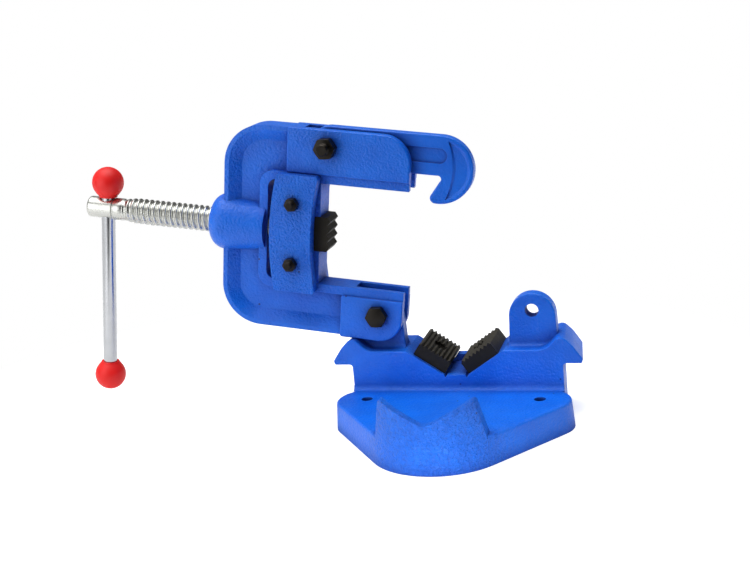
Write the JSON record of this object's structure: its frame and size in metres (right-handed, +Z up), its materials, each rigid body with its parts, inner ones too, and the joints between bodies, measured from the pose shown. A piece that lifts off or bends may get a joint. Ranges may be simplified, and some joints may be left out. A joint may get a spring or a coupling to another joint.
{
  "type": "pipe vise",
  "caption": "Bench yoke pipe vise: base with V jaws and front rest, hinged yoke with latch hook, screw-driven upper jaw and sliding handle.",
  "frame": {"origin": "midway between the two bench bolt holes, on the underside of the base plate", "axes": "+X along the wall from the hinge side to the latch side, +Y from the round nose to the wall, +Z up"},
  "size_m": [0.5187, 0.202, 0.2942],
  "materials": {
    "blue_enamel": "gloss enamel over sand-cast iron",
    "black_jaw_steel": "hardened and blackened",
    "black_fastener_steel": "black oxide",
    "zinc_plated_steel": "bright zinc",
    "polished_steel": "polished",
    "red_plastic": "gloss"
  },
  "bodies": {
    "base": {"base_casting": "blue_enamel", "lower_jaw_left": "black_jaw_steel", "lower_jaw_right": "black_jaw_steel", "lower_jaw_screw_left": "black_fastener_steel", "lower_jaw_screw_right": "black_fastener_steel"},
    "yoke": {"yoke_casting": "blue_enamel", "hinge_bolt": "black_fastener_steel", "hinge_nut": "black_fastener_steel", "latch_bolt": "black_fastener_steel", "latch_nut": "black_fastener_steel"},
    "hook": {"latch_hook": "blue_enamel"},
    "slide": {"slide_body": "blue_enamel", "slide_cover_plate": "blue_enamel", "upper_jaw": "black_jaw_steel", "slide_bolt_lower": "black_fastener_steel", "slide_bolt_upper": "black_fastener_steel", "slide_nut_lower": "black_fastener_steel", "slide_nut_upper": "black_fastener_steel"},
    "spindle": {"screw_spindle": "zinc_plated_steel"},
    "handle": {"handle_bar": "polished_steel", "knob_lower": "red_plastic", "knob_upper": "red_plastic"}
  },
  "joints": [
    {"name": "yoke_hinge", "type": "hinge", "parent": "base", "child": "yoke", "pos_m": [-0.075, 0.048, 0.1015], "axis": [0, 1, 0], "range_deg": [0, 81.9]},
    {"name": "hook_swing", "type": "hinge", "parent": "yoke", "child": "hook", "pos_m": [-0.10916, 0.048, 0.26888], "axis": [0, -1, 0], "range_deg": [0, 82]},
    {"name": "jaw_travel", "type": "slide", "parent": "yoke", "child": "slide", "axis": [0.99, 0, -0.1409], "range_m": [-0.0051, 0.0881]},
    {"name": "screw_turn", "type": "hinge", "parent": "slide", "child": "spindle", "pos_m": [-0.26244, 0.048, 0.20393], "axis": [0.99, 0, -0.1409], "range_deg": [-300, 5280]},
    {"name": "handle_slide", "type": "slide", "parent": "spindle", "child": "handle", "axis": [0.1409, 0, 0.99], "range_m": [0, 0.1545]}
  ],
  "couplings": [
    {"joint": "hook_swing", "follows": "yoke_hinge", "ratio": 1},
    {"joint": "jaw_travel", "follows": "screw_turn", "m_per_rad": 0.00095493}
  ]
}
